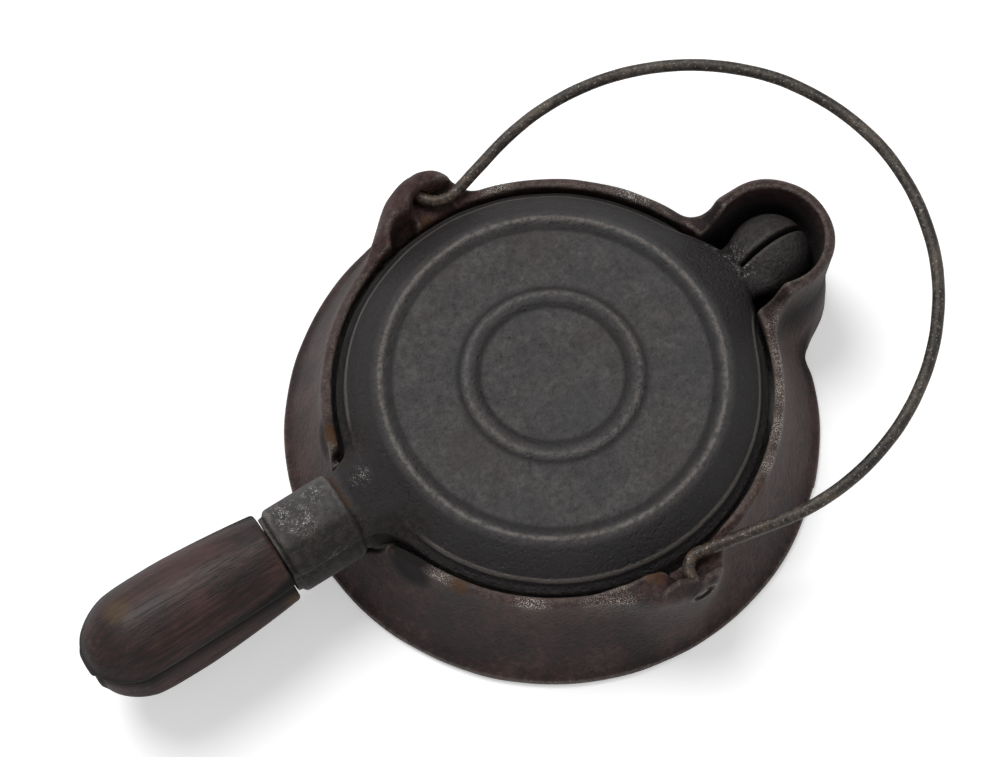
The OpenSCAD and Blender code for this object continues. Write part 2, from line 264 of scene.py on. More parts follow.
def add_piece(name, mesh, body, nodes, material=None):
    mesh.name = name
    piece = link_object(name, mesh)
    if material:
        mesh.materials.clear()
        mesh.materials.append(material)
    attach(piece, body)
    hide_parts(*nodes)
    triangles = sum(len(f.vertices) - 2 for f in mesh.polygons)
    print(f"{name}: {triangles} triangles on {body}")


def bake_down(thing):
    """The evaluated mesh of an object with modifiers, and the object is gone."""
    bpy.context.view_layer.update()
    graph = bpy.context.evaluated_depsgraph_get()
    mesh = bpy.data.meshes.new_from_object(thing.evaluated_get(graph))
    bpy.data.objects.remove(thing)
    return mesh


# %% Carving one casting
BEND_GAIN = 0.9
EDGE_FROM, HOLLOW_FROM = 0.12, 0.05


def carve(name, field, low, high, step, keep=1.0, sand=0.06, rust=(), soot=(), bare=(), half=None):
    """A field's mesh between two corners, thinned to the share keep and set in its place."""
    points, quads = net(sample(field, low, high, step), low, step)
    points = settle(field, points, step / 2)
    mesh = bpy.data.meshes.new(name)
    mesh.from_pydata((points * MM).tolist(), [], quads.tolist())
    if keep < 1:
        block = link_object(name, mesh)
        block.modifiers.new("thin", "DECIMATE").ratio = keep
        mesh = bake_down(block)
        points = settle(field, read_points(mesh), step / 2)
    turn = BEND_GAIN * bend(field, points)
    g = slope(field, points)
    g /= np.maximum(np.linalg.norm(g, axis=1), 1e-6)[:, None]
    skin = points + g * uneven(points, sand, SAND_LENGTH)[:, None]
    if half:
        skin = to_place(skin, half)
    add_attribute(mesh, "edge", np.clip(turn - EDGE_FROM, 0, 1))
    add_attribute(mesh, "hollow", np.clip(-turn - HOLLOW_FROM, 0, 1))
    for mark, spots in (("rust", rust), ("soot", soot), ("bare", bare)):
        add_attribute(mesh, mark, patches(skin, spots))
    write_points(mesh, skin)
    return mesh


print("the carver is ready")

# %% [markdown]
# ## The base ring
# The base is one casting: a wall that flares out to a foot, so that heat is led in under the
# pans, a deep cup for the ball, a notch for the neck and two hollow ears for the bail. The
# wall is the distance from a curve that widens with a power of the depth below the rim. The
# notch is worn low on one side, where the neck has been slid in and out for years.

# %% The wall, the cup and the ears as fields
RIM_WAVE, RIM_DROP = 0.12, 0.1
CUP_FLARE, CUP_FLARE_Z, CUP_ROOT_X = 3.1, 22, 45
LIP_X, LIP_RUN = 59.5, 7
EAR_FRONT_X, EAR_FRONT_V, EAR_FAR_R, EAR_NEAR_R = 1.0, 61.4, 11.0, 10.1
EAR_BACK_X, EAR_BACK_V, EAR_BACK_R = -8.0, 57.8, 9.8
EAR_MID_X, EAR_HALF = -1.0, 7.5


def ring_wall(z):
    """The wall's outer radius at a height, and the cosine of its lean."""
    depth = 1 - np.clip(z / RIM_Z, 0, 1)
    radius = RIM_R + (WALL_FOOT_R - RIM_R) * depth ** FLARE_POWER
    run = (WALL_FOOT_R - RIM_R) * FLARE_POWER * depth ** (FLARE_POWER - 1) / RIM_Z
    return radius, 1 / np.sqrt(1 + run ** 2)


def ring_outside(x, y, z):
    r = np.hypot(x, y)
    radius, lean = ring_wall(z)
    foot = soft_max(between(r, FOOT_IN_R, FOOT_R, 1.2), z - FOOT_EDGE, 1.2)
    ring = soft_min((r - radius) * lean, foot, 1.6)
    top = RIM_Z + RIM_WAVE * np.sin(3 * np.arctan2(y, x) + 1) - RIM_DROP
    return soft_max(ring, z - top, 1.7)


def cup_outside(x, y, z):
    r = np.hypot(np.maximum(x - CUP_X, 0), y)
    side = r - (CUP_R + CUP_FLARE * np.clip(1 - z / CUP_FLARE_Z, 0, 1))
    t = (x - LIP_X) / LIP_RUN
    lip = RIM_Z + (CUP_Z - RIM_DROP - RIM_Z) * ease(t)
    rise = (CUP_Z - RIM_Z) / LIP_RUN * np.pi / 2 * np.sin(np.pi * np.clip(t, 0, 1))
    return cut(side, ((z - lip) / np.sqrt(1 + rise ** 2), 1.5), (CUP_ROOT_X - x, 1))


def ear_outside(x, y, z):
    v = np.abs(y - EAR_SHIFT)
    front = np.hypot(x - EAR_FRONT_X, v - EAR_FRONT_V) - np.where(y > 0, EAR_FAR_R, EAR_NEAR_R)
    back = np.hypot(x - EAR_BACK_X, v - EAR_BACK_V) - EAR_BACK_R
    top = EAR_TOP - (EAR_TOP - RIM_Z + 0.3) * ease((np.abs(x - EAR_MID_X) - EAR_HALF) / EAR_HALF)
    return soft_max(soft_min(front, back, 8), (z - top) * 0.88, 3.4)


# %% The cup's hollow
WELL_Z, WELL_R = 18.5, 10.9
THROAT_X, THROAT_END = 48, 66
BELOW_X, BELOW_Z = 55, 8


def cup_hollow(x, y, z):
    """The well with the ball's seat, the throat to the pans, and the hollow below the floor."""
    h = z - AXIS_Z
    far = np.hypot(x - CUP_X, y)
    well_r = np.interp(z, [WELL_Z, AXIS_Z], [WELL_R, CUP_IN_R])
    well = soft_max((far - well_r) * 0.95, WELL_Z - z, 2)
    seat = np.sqrt((x - BALL_X) ** 2 + y ** 2 + h ** 2) - BALL_R - BALL_GAP
    mouth = soft_max(np.hypot(y, h) - THROAT_R, between(x, THROAT_X, THROAT_END, 1), 1)
    slot = cut(np.abs(y) - THROAT_R, (-h, 1), (between(x, THROAT_X, CUP_X, 1), 1))
    ahead = np.abs(y) + 50 * (x > CUP_X)
    below = cut(np.minimum(far, ahead) - CUP_IN_R, (z - BELOW_Z, 2), (BELOW_X - x, 2))
    return np.minimum(soft_min(np.minimum(well, seat), np.minimum(mouth, slot), 1), below)


# %% The ears' pockets and holes, and the neck's notch
POCKET_X, POCKET_V, POCKET_R = 1.0, 60.8, 6.1
BACK_LOBE_X, BACK_LOBE_V, BACK_LOBE_R = -8.8, 57.0, 5.6
RIB_X, RIB_H, RIB_HALF = -4.6, 1.6, 1.2
ARM_Y, ARM_DEPTH = (59.0, 66.8), 2.2
SWUNG_Y, SWUNG_DEPTH = (-64.2, -58.0), 2.9
HOLE_R, HOLE_FLARE = 1.9, 0.5
WORN_X, WORN_R, WORN_SHARE = 0.4, 2.5, 0.76
NOTCH_R, NOTCH_X = 13.0, -45


def ear_pocket(x, y, z):
    """A scoop open to the pans. The far ear's has a second lobe behind a low rib."""
    v = np.abs(y - EAR_SHIFT)
    front = np.hypot(x - POCKET_X, v - POCKET_V) - POCKET_R
    back = np.hypot(x - BACK_LOBE_X, v - BACK_LOBE_V) - BACK_LOBE_R + 20 * (y < 0)
    rib = RIB_H * np.exp(-np.square((x - RIB_X) / RIB_HALF)) * (y > 0)
    cove = np.maximum(v - 65.5, 0) * ease((x + 5) / 4)
    floor = 23.8 + 3.2 * ease((x + 6.5) / 3.5) + 0.25 * (v - 62) + rib + 0.6 * cove
    return soft_max(soft_min(front, back, 4), (floor - z) * 0.75, 2.5)


def arm_trough(x, y, z):
    """Where the bail's arms lie over the ears and the rim, at both ends of the swing."""
    floor = EAR_Z - ARM_DEPTH + x * math.tan(BAIL_TILT)
    trough = cut(between(np.abs(y), *ARM_Y, 0.8), (floor - z, 1.5), (between(x, 1, 20, 1), 1))
    floor = EAR_Z - SWUNG_DEPTH - x * math.tan(SWING_TILT)
    swung = cut(between(y, *SWUNG_Y, 0.8), ((floor - z) * math.cos(SWING_TILT), 0.8),
                (between(x, -12, -2, 0.8), 0.8))
    return np.minimum(trough, swung)


def ear_hole(x, y, z):
    """The bore for the bail's end, flared inside and worn wide where it comes out."""
    v = np.abs(y - EAR_SHIFT)
    bore = np.hypot(x, z - EAR_Z) - HOLE_R - HOLE_FLARE * np.clip(68 - v, 0, 1.5)
    worn = np.hypot((x - WORN_X) * WORN_SHARE, (z - EAR_Z) * WORN_SHARE) - WORN_R
    return np.minimum(soft_max(bore, 60 - v, 0.5), soft_max(worn, 70.2 - v, 0.8))


NOTCH_Y = [-40, -31, -27, -24.5, -22, -19.5, -17, -14.6, 14.6, 15.1, 15.7, 16.6, 18, 40]
NOTCH_Z = [33, 31.3, 30.4, 30.2, 29.6, 28.6, 27.2, 25.5, 25.5, 26.6, 28.6, 30.4, 32.5, 33]


def neck_notch(x, y, z):
    bore = np.hypot(y, z - AXIS_Z) - NOTCH_R
    floor = np.interp(y, NOTCH_Y, NOTCH_Z)
    shoulder = (floor - z) * np.where(y > 0, 0.55, 0.9)
    return soft_max(np.minimum(bore, shoulder), x - NOTCH_X, 1)


# %% The whole base casting
CHIP_X, CHIP_Y, CHIP_Z = 72.6, -30, 0.6
OUTER_R, STAND_Z = 75.8, 0.2


def base_casting(x, y, z):
    radius, lean = ring_wall(z)
    body = soft_min(ring_outside(x, y, z), cup_outside(x, y, z), 6.5)
    body = soft_min(body, ear_outside(x, y, z), 4.5 + 4 * ease((4 - x) / 9))
    far = np.hypot(x, y)
    pockets = soft_min(ear_pocket(x, y, z), arm_trough(x, y, z), 1.0)
    chip = ((x - CHIP_X) / 2.4) ** 2 + ((y - CHIP_Y) / 7.5) ** 2 + ((z - CHIP_Z) / 2.6) ** 2
    return cut(body, ((radius - WALL - far) * lean, 1.3), (-cup_hollow(x, y, z), 1.1),
               (-pockets, 1.9), (-ear_hole(x, y, z), 0.5), (-neck_notch(x, y, z), 1.5),
               ((1 - np.sqrt(chip)) * 2.2, 0.8), (far - OUTER_R - 20 * (x > 50), 0.4),
               (STAND_Z - z, 0.9))


# %% Carve the base, with its patches as (x, y, z, radius)
BASE_LOW, BASE_HIGH, BASE_STEP = (-78, -78, -1.5), (94, 78, 42), 0.62
CAST_SAND = 0.1
BASE_RUST = [(-16, 59, 30, 3), (-2, 60.5, 25, 4), (8, -61, 30, 5), (-9, -60, 33, 4),
             (-52, -34, 29, 4), (-58, 20, 29, 5), (30, -57, 27, 5), (61, 22, 34, 4)]
# Dark patches: one deep in the cup's well, and painted shade on both sides of the neck's notch.
BASE_SOOT_AND_SHADE = [(CUP_X, 0, 22, 18), (-55, -20, 24, 7), (-55, 20, 24, 6)]
BASE_BARE = [(62, -24, 33, 7), (58, -30, 30, 6), (-57, -31, 31, 6), (-22, -62, 30, 8),
             (-62, 17, 29, 5), (52, 36, 31, 6), (44, -45, 30, 5), (51, -37, 30, 5),
             (36, -52, 30, 4), (-40, -50, 30, 5), (20, 60, 30, 5)]
base_mesh = carve("base_casting", base_casting, BASE_LOW, BASE_HIGH, BASE_STEP, 0.86,
                  CAST_SAND, BASE_RUST, BASE_SOOT_AND_SHADE, BASE_BARE)
print("base vertices:", len(base_mesh.vertices))

# %% [markdown]
# ## The two pans
# Both pans are one casting used twice, the lower one turned half a turn about the line
# through the handle and the ball. The back is turned work: a flange, a dome, a narrow bead
# and a broad low ring, so it is a height for each distance from the middle, softened a
# little. The nose, the neck with its broad saddle, the thick socket and the half ball are
# then joined to it softly. The tray inside is cut out and later gets its studs.

# %% The section of a pan's back
BACK_R = [0, 18.4, 19.5, 20.5, 21.4, 22.2, 23.0, 23.9, 24.9, 26.0, 41.6, 43.3, 44.5, 45.3, 45.9, 46.6]
BACK_RISE = [0, 0, -0.14, 0.6, 0.9, 0.96, 0.9, 0.6, -0.14, 0, 0, -0.28, 0.1, 0.75, 1.0, 1.0]
BACK_Z = [PLATE_Z + rise for rise in BACK_RISE]
DOME_TURN = math.radians(72)
DOME_END, DOME_FOOT_Z, DOME_H = 55.8, 5.5, 5.9
for i in range(1, 10):
    BACK_R.append(DOME_R + (DOME_END - DOME_R) * i / 9)
    BACK_Z.append(DOME_FOOT_Z + DOME_H * math.sin(DOME_TURN * (9 - i) / 9) / math.sin(DOME_TURN))
BACK_R += [56.5, PAN_R, 90]
BACK_Z += [3.75, 2.4, 2.0]
FINE, SOFTEN = 0.05, 0.22
FINE_R = np.arange(0, 90, FINE)
KERNEL = np.exp(-np.square(np.arange(-20, 21) * FINE / SOFTEN) / 2)
FINE_Z = np.interp(FINE_R, BACK_R, BACK_Z)
FINE_Z[20:-20] = np.convolve(FINE_Z, KERNEL / KERNEL.sum(), "same")[20:-20]
FINE_LEAN = 1 / np.sqrt(1 + np.gradient(FINE_Z, FINE) ** 2)
FAR_LEAN, FAR_RISE = 0.85, 1.2


def pan_back(r, z):
    """Exact near the turned surface and even further out, so that joins beside it stay smooth."""
    rise = z - np.interp(r, FINE_R, FINE_Z)
    lean = np.interp(r, FINE_R, FINE_LEAN)
    return rise * (lean + (FAR_LEAN - lean) * np.clip(rise / FAR_RISE, 0, 1))


print("the bead is", round(float(FINE_Z.max() - PLATE_Z), 2), "mm high")


# %% The plate and its nose
NOSE_X, NOSE_R, NOSE_TO_R = 50.2, 12.9, 58.0
NOSE_DIP, NOSE_EASE = 2.9, 0.75
NOSE_TURN = math.acos((NOSE_TO_R - NOSE_R) / NOSE_X)
NOSE_END = math.atan2(NOSE_R * math.sin(NOSE_TURN), NOSE_X + NOSE_R * math.cos(NOSE_TURN))


def plate_edge(x, y):
    """Distance from the plate's outline, a circle that runs out over the ball in a round nose."""
    side = np.abs(y)
    along = math.cos(NOSE_TURN) * x + math.sin(NOSE_TURN) * side - NOSE_TO_R
    place = math.sin(NOSE_TURN) * x - math.cos(NOSE_TURN) * side
    along = np.where(place > NOSE_X * math.sin(NOSE_TURN), np.hypot(x - NOSE_X, y) - NOSE_R, along)
    circle = np.hypot(x, y) - PAN_R + 0.05
    return np.where(place < 0, circle, np.minimum(along, circle))


def pan_plate(x, y, z):
    """The turned back. Towards the nose its dome is stretched out to the longer outline."""
    r = np.hypot(x, y)
    turn = np.arctan2(np.abs(y), x)
    reach = NOSE_TO_R / np.cos(np.minimum(turn - NOSE_TURN, 0))
    tip = NOSE_X * np.cos(turn) + np.sqrt(np.maximum(NOSE_R ** 2 - (NOSE_X * np.sin(turn)) ** 2, 0))
    reach = np.maximum(np.where(turn < NOSE_END, tip, reach), PAN_R)
    nose = ease((NOSE_TURN - turn) / NOSE_TURN / NOSE_EASE)
    share = (PAN_R - NOSE_DIP * nose - DOME_R) / (reach - DOME_R)
    turned_r = np.where(r < DOME_R, r, DOME_R + (r - DOME_R) * share)
    return soft_max(pan_back(turned_r, z), plate_edge(x, y), 0.9 + 1.8 * nose)


# %% The neck, the socket and the shoulder for the wood
NECK_SECTION = [(7.4, 0.15), (10.3, 3.2), (10.3, 6), (6.2, 9.3)]
SOCKET_SECTION = [(7.2, 0.3), (10.6, 5.8), (10.6, 8.6), (6.6, 12.3)]
SHOULDER_SECTION = [(8.2, 0.5), (9.4, 3), (9.4, 7), (6, 10)]
NECK_END = -42


def bar_section(y, z, points, r):
    """A symmetric bar whose half outline runs through points, from the mating face to the top."""
    side = np.abs(y)
    (w0, z0), (w1, z1), (w2, z2), (w3, z3) = points
    d = soft_max(z - z3, side - max(w1, w2), r)
    for (ya, za), (yb, zb) in (((w0, z0), (w1, z1)), ((w2, z2), (w3, z3))):
        size = math.hypot(yb - ya, zb - za)
        d = soft_max(d, ((side - ya) * (zb - za) - (z - za) * (yb - ya)) / size, r)
    return d


def pan_neck(x, y, z):
    waist = 0.35 * np.exp(-np.square((x - SEAM_X - 0.4) / 0.5))
    neck = bar_section(y, z, NECK_SECTION, 2.6) + waist
    return soft_max(neck, between(x, SEAM_X - 1, NECK_END, 1), 0.5)


def pan_socket(x, y, z):
    crown = 0.25 * np.square((x - (SEAM_X + SOCKET_X) / 2) / 9.7)
    block = bar_section(y, z + crown, SOCKET_SECTION, 2.4)
    return soft_max(block, between(x, SOCKET_X, SEAM_X, 0.5), 1.7)


def wood_shoulder(x, y, z):
    shoulder = bar_section(y, z, SHOULDER_SECTION, 1.6)
    return soft_max(shoulder, between(x, GRIP_X + 0.5, SOCKET_X + 1, 0.3), 0.5)


# %% The half ball and its pivot
HALF_GAP = 0.8
MATE_Z = 0.2
STEM_Y, STEM_Z, STEM_R = -5.2, 2.6, 3.4
PIVOT_R, PIVOT_HOLE_R = 3.4, 3.5


def half_ball(x, y, z, has_pivot):
    ball = np.sqrt((x - BALL_X) ** 2 + y ** 2 + z ** 2) - BALL_R + 0.05
    stem = cut(np.hypot((y - STEM_Y) * 0.8, z - STEM_Z) - STEM_R,
               (between(x, 54, 68, 1), 1), (MATE_Z - z, 0.5), (y + HALF_GAP, 0.7))
    ball = soft_min(soft_max(ball, y + HALF_GAP, 0.9), stem, 2.2)
    turn = np.hypot(x - BALL_X, z)
    if has_pivot:
        return soft_min(ball, soft_max(turn - PIVOT_R, between(y, -3, 6.3, 0.6), 0.6), 0.6)
    return soft_max(ball, -soft_max(turn - PIVOT_HOLE_R, -8 - y, 0.4), 0.5)


# %% One whole pan, its mating face at z = 0
DRAFT = 0.12


def pan_casting(x, y, z, has_pivot):
    """Plate, neck, socket and half ball, with the tray and the other half's room cut out."""
    r = np.hypot(x, y)
    body = soft_min(pan_plate(x, y, z), pan_neck(x, y, z), 1.2 + 6.5 * ease((r - 50) / 8))
    body = soft_min(body, pan_socket(x, y, z), 0.6)
    body = soft_min(body, wood_shoulder(x, y, z), 0.5)
    wall_r = MOULD_R - DRAFT * (z - STUD_TOP)
    tray = soft_max(r - wall_r, z - MOULD_FLOOR, 1.6)
    room = np.sqrt((x - BALL_X) ** 2 + y ** 2 + z ** 2) - BALL_R - BALL_GAP
    room = soft_max(room, -HALF_GAP - y, 0.3)
    body = cut(body, (MATE_Z - z, 0.6), (-tray, 0.8), (-room, 0.4))
    return np.minimum(body, half_ball(x, y, z, has_pivot))


SIGNS = {"upper": (1, 1, 1), "lower": (1, -1, -1)}


def to_place(p, half):
    return p * np.array(SIGNS[half]) + np.array([0, 0, AXIS_Z])


def carve_halves(name, fields, low, high, step, **skin):
    meshes = {}
    for half in SIGNS:
        meshes[half] = carve(name, fields[half], low, high, step, half=half, **skin)
        print(half, name, "vertices:", len(meshes[half].vertices))
    return meshes


# %% Carve both pans, with their patches as (x, y, z, radius)
PAN_LOW, PAN_HIGH, PAN_STEP = (-88, -60.5, -12.5), (86, 60.5, 14), 0.56
SEAM_Y = [8 - 1.5 * i for i in range(7)]
SEAM_RUST = [(-64.9, y, AXIS_Z + 9.3 - 0.03 * y ** 2, 1.8) for y in SEAM_Y]
# Dark patches: one on the half ball, then painted shade along the sides of the sockets and necks by the seam,
# and on the near half of the socket's top.
PAN_SOOT_AND_SHADE = [(BALL_X + 2, 0, AXIS_Z, 14)]
PAN_SOOT_AND_SHADE += [(x, side, AXIS_Z + 1.8, 7.5) for x in range(-86, -46, 5) for side in (-13, 13)]
PAN_SOOT_AND_SHADE += [(x, -9, AXIS_Z + 11, 6.5) for x in range(-83, -64, 4)]
# Bare spots: worn at the nose's edge, and on the socket's top, where they are painted as glints.
PAN_BARE_GLINT = [(-80, 5, 38, 4), (-77, 1, 38, 4), (-71, 6, 38, 3), (-73, -10, 31, 3),
            (-58, 4, 36, 3), (62, 4, 31, 4), (60, 9, 31, 3), (62, -2, 31, 3)]
PAN_FIELDS = {half: partial(pan_casting, has_pivot=half == "upper") for half in SIGNS}
pan_meshes = carve_halves("pan", PAN_FIELDS, PAN_LOW, PAN_HIGH, PAN_STEP, keep=0.8,
                          sand=CAST_SAND, rust=SEAM_RUST, soot=PAN_SOOT_AND_SHADE, bare=PAN_BARE_GLINT)

# %% [markdown]
# ## The tangs
# A flat tang runs back from each socket into the wood and takes two countersunk screws from
# the mating face. It is part of the pan's casting, but it is thin and has small holes, so it
# is carved on its own finer grid and reaches a little way into the socket.

# %% Carve the two tangs
SCREW_X = (-98, -116)
TANG_END, TANG_HALF, TANG_Z = -127, 4, (0.5, 5.2)
SINK_Z, SINK_R = (0.5, 2.1), (3.15, 1.55)
TANG_BOX, TANG_STEP, TANG_SAND = ((-128, -5, -0.4), (-82, 5, 6.2)), 0.26, 0.02


def tang(x, y, z):
    bar = cut(between(x, TANG_END, -83, 0.8), (between(y, -TANG_HALF, TANG_HALF, 0.8), 0.8),
              (between(z, *TANG_Z, 0.5), 0.5))
    holes = [np.hypot(x - screw_x, y) - np.interp(z, SINK_Z, SINK_R) for screw_x in SCREW_X]
    return cut(bar, *((-hole * 0.8, 0.25) for hole in holes))


tang_meshes = carve_halves("tang", dict.fromkeys(SIGNS, tang), *TANG_BOX, TANG_STEP, sand=TANG_SAND)

# %% [markdown]
# ## The wooden grips
# Each grip is half of a turned handle. It swells towards the back, ends in a flat butt with a
# worn round edge, and its long edges are cut back, so that the closed pair shows a groove.
# The field is the turned profile, cut by the mating face and by the slanting faces of the
# groove, which opens towards the butt, so that its lip stays at one height.

# %% Carve the grips
FRONT_R, SWELL, SWELL_T, BUTT_DROP = 13, 2.8, 0.6, 8.2
GRIP_T = np.linspace(0, 1, 141)
GRIP_R = np.where(GRIP_T < SWELL_T, FRONT_R + SWELL * np.sin(np.pi / 2 * np.minimum(GRIP_T / SWELL_T, 1)),
                  FRONT_R + SWELL - BUTT_DROP * (np.maximum(GRIP_T - SWELL_T, 0) / (1 - SWELL_T)) ** 3)
GRIP_SLOPE = np.gradient(GRIP_R, GRIP_LEN / 140)
GROOVE = math.radians(31)
GROOVE_Y, GROOVE_RUN, LIP_Z, FACE_Z = 8.2, 4.5, 8, 0.5
BUTT_X, BUTT_BACK = GRIP_X - GRIP_LEN, 3
POCKET_HALF, POCKET_TOP, POCKET_END = 4.15, 5.3, -127.4
GRIP_BOX, GRIP_STEP, GRIP_SAND = ((-144, -17, -0.5), (-85.5, 17, 17)), 0.42, 0.05
WOOD_SCARS = [(-128, 5, AXIS_Z + 14, 5), (-88, -11, AXIS_Z - 4, 4)]


def groove_face(out, z):
    """A face that leans outwards by the groove's angle from the mating face up."""
    return out * math.cos(GROOVE) - (z - FACE_Z) * math.sin(GROOVE)


def grip(x, y, z):
    t = (GRIP_X - x) / GRIP_LEN
    radius = np.interp(t, GRIP_T, GRIP_R)
    lean = 1 / np.sqrt(1 + np.interp(t, GRIP_T, GRIP_SLOPE) ** 2)
    wood = (np.hypot(y, z) - radius + 0.05) * lean
    butt = groove_face(BUTT_X + BUTT_BACK - x, z)
    start = np.sqrt(np.maximum(radius ** 2 - LIP_Z ** 2, 0)) - GROOVE_RUN
    start = np.where(t > SWELL_T, np.clip(start, FACE_Z, GROOVE_Y), GROOVE_Y)
    pocket = cut(np.abs(y) - POCKET_HALF, (z - POCKET_TOP, 0.3), (POCKET_END - x, 0.3))
    return cut(wood, (x - GRIP_X, 1.1), (BUTT_X + 0.12 - x, 3.8), (butt, 1.5),
               (groove_face(np.abs(y) - start, z), 0.8), (FACE_Z - z, 0.7), (-pocket, 0.4))


grip_meshes = carve_halves("grip", dict.fromkeys(SIGNS, grip), *GRIP_BOX, GRIP_STEP,
                           sand=GRIP_SAND, rust=WOOD_SCARS)

# %% [markdown]
# ## Writing shader sums as sums
# A finish is a recipe of masks: noise times wear plus grime. Wrapping a socket in a small
# class with the usual operators lets such a recipe be written as an expression, and each
# operator adds one Math node. All other nodes come from one method.

# %% A socket that can be added and multiplied
class Strand:
    def __init__(self, finish, socket):
        self.finish = finish
        self.socket = socket

    def op(self, operation, a, b):
        return self.finish.node("ShaderNodeMath", {"operation": operation}, {0: a, 1: b})

    def __add__(self, other):
        return self.op("ADD", self, other)

    def __sub__(self, other):
        return self.op("SUBTRACT", self, other)

    def __rsub__(self, other):
        return self.op("SUBTRACT", other, self)

    def __mul__(self, other):
        return self.op("MULTIPLY", self, other)

    __radd__ = __add__
    __rmul__ = __mul__

    def high(self, other):
        return self.op("MAXIMUM", self, other)

    def span(self, start, end):
        """0 at start, 1 at end, held between them."""
        values = {"Value": self, "From Min": start, "From Max": end}
        return self.finish.node("ShaderNodeMapRange", {"clamp": True}, values)


# %% A material and the one method that adds its nodes
class Finish:
    def __init__(self, name, **constants):
        self.material = bpy.data.materials.new(name)
        self.material.use_nodes = True
        self.tree = self.material.node_tree
        self.tree.nodes.clear()
        self.shader = self.tree.nodes.new("ShaderNodeBsdfPrincipled")
        output = self.tree.nodes.new("ShaderNodeOutputMaterial")
        self.tree.links.new(self.shader.outputs[0], output.inputs[0])
        for socket, value in constants.items():
            self.shader.inputs[socket.replace("_", " ")].default_value = value
        self.place = self.node("ShaderNodeTexCoord", {}, {}, "Object")

    def node(self, kind, settings, values, output=0):
        made = self.tree.nodes.new(kind)
        for key, value in settings.items():
            if key == "stops":
                self.set_stops(made.color_ramp, value)
            else:
                setattr(made, key, value)
        for socket, value in values.items():
            self.feed(made.inputs[socket], value)
        return Strand(self, made.outputs[output])

    def set_stops(self, ramp, stops):
        while len(ramp.elements) < len(stops):
            ramp.elements.new(0.5)
        for element, (place, colour) in zip(ramp.elements, stops):
            element.position = place
            element.color = (*colour, 1)

    def feed(self, socket, value):
        if isinstance(value, Strand):
            self.tree.links.new(value.socket, socket)
        elif isinstance(value, tuple) and socket.type == "RGBA":
            socket.default_value = (*value, 1)
        else:
            socket.default_value = value

    def stretched(self, x, y, z):
        return self.node("ShaderNodeMapping", {}, {"Vector": self.place, "Scale": (x, y, z)})

    def noise(self, scale, detail=3.0, rough=0.55, vector=None):
        values = {"Vector": vector or self.place, "Scale": scale, "Detail": detail, "Roughness": rough}
        return self.node("ShaderNodeTexNoise", {}, values)

    def stored(self, name):
        return self.node("ShaderNodeAttribute", {"attribute_name": name}, {}, "Fac")

    def pits(self, scale):
        cells = self.node("ShaderNodeTexVoronoi", {}, {"Vector": self.place, "Scale": scale})
        return cells.span(0.0, 0.4)

    def ramp(self, share, *stops):
        return self.node("ShaderNodeValToRGB", {"stops": stops}, {"Fac": share})

    def blend(self, share, a, b):
        settings = {"data_type": "RGBA", "clamp_factor": True}
        return self.node("ShaderNodeMix", settings, {0: share, 6: a, 7: b}, 2)

    def layers(self, skin, *coats):
        """Colours laid over a skin one after the other, each by its own mask."""
        for share, colour in coats:
            skin = self.blend(share, skin, colour)
        return skin

    def along(self, axis):
        return self.node("ShaderNodeSeparateXYZ", {}, {0: self.place}, axis)

    def length(self, vector):
        return self.node("ShaderNodeVectorMath", {"operation": "LENGTH"}, {0: vector}, "Value")

    def marks(self, name, base, gain, noise):
        """A stored mark, broken up by a noise."""
        return self.stored(name) * (base + gain * noise)

    def bump(self, height, strength, distance):
        return self.node("ShaderNodeBump", {}, {"Height": height, "Strength": strength, "Distance": distance})

    def finish(self, **sockets):
        for socket, value in sockets.items():
            self.feed(self.shader.inputs[socket.replace("_", " ")], value)
        print(self.material.name, "has", len(self.tree.nodes), "nodes")
        return self.material


# %% [markdown]
# ## Seasoned iron of the pans
# Years of oil bake onto the pans as a blue-grey satin skin. Under it the sand-cast grain
# still shows as a fine pebble, and edges are rubbed brighter. Noises of several sizes give the
# cloudy sheen, the grain and the pits, and the stored marks place wear, grime, rust, soot with
# painted shade, and bright bare specks painted as glints. The bead, the ring and their grooves
# are found by their radius: the crests get a painted highlight over their wear, the grooves
# painted shade. The dome beside the flange is painted darker, as shade on its slope.

# %% Masks that follow the turned back, radii in millimetres
# Radii where the grooves get painted shade and the crests a painted highlight.
RING_INNER_GROOVE_SHADE, RING_OUTER_GROOVE_SHADE = (18.4, 19.6, 20.6, 22.2), (24.2, 24.9, 25.4, 26.6)
RING_CREST_HIGHLIGHT = (22.2, 23.0, 23.4, 24.2)
BEAD_GROOVE_SHADE, BEAD_CREST_HIGHLIGHT = (42.0, 43.0, 44.0, 45.2), (45.1, 45.9, 46.3, 46.9)
# The dome's band of painted shade.
DOME_SHADE_BAND = (46.5, 49, 62, 66)
FLAT_FROM, FLAT_FULL = 0.0085, 0.0095


def from_middle(f):
    return f.length(f.stretched(1, 1, 0))


def above_seam(f):
    """How far a point lies above or below the face where the two halves meet."""
    rise = f.along(2) - AXIS_Z * MM
    return rise.op("ABSOLUTE", rise, 0.0)


def band(far, start, full, fade, end):
    return far.span(start * MM, full * MM) * far.span(end * MM, fade * MM)


def turned_band(f, radii):
    """A band round the flat of a pan's back, where a turned bead or groove lies."""
    return band(from_middle(f), *radii) * above_seam(f).span(FLAT_FROM, FLAT_FULL)


